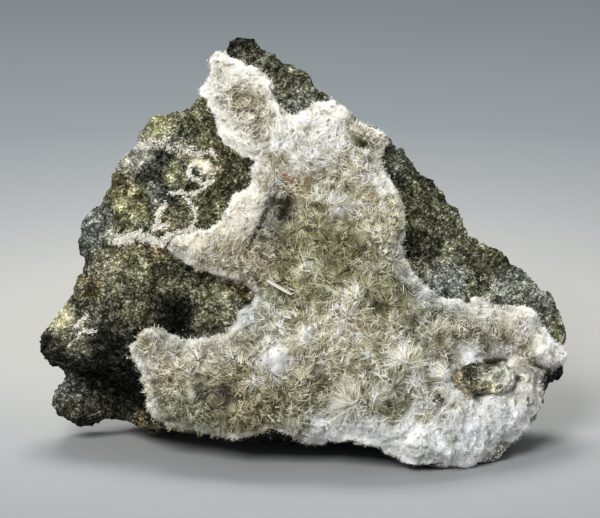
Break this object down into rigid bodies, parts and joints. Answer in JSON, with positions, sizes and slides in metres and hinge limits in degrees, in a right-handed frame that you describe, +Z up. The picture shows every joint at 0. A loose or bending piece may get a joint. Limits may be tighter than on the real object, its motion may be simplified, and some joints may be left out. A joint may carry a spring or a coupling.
{
  "type": "mordenite specimen",
  "caption": "Hand-size piece of broken basalt that stands on a flat base, its face lined with a white crust of radiating mordenite needle sprays.",
  "frame": {"origin": "middle of the flat base that the stone stands on", "axes": "+Z up, +X to the right as the crusted face is looked at, and the crusted face looks towards -Y"},
  "size_m": [0.1061, 0.0553, 0.0782],
  "materials": {
    "basalt": "rough, broken, fine-grained green-black and olive stone",
    "mordenite": "white to beige silky needles on a white broken crust"
  },
  "bodies": {
    "root": {"basalt_matrix": "basalt", "mordenite_crust": "mordenite"}
  },
  "joints": []
}
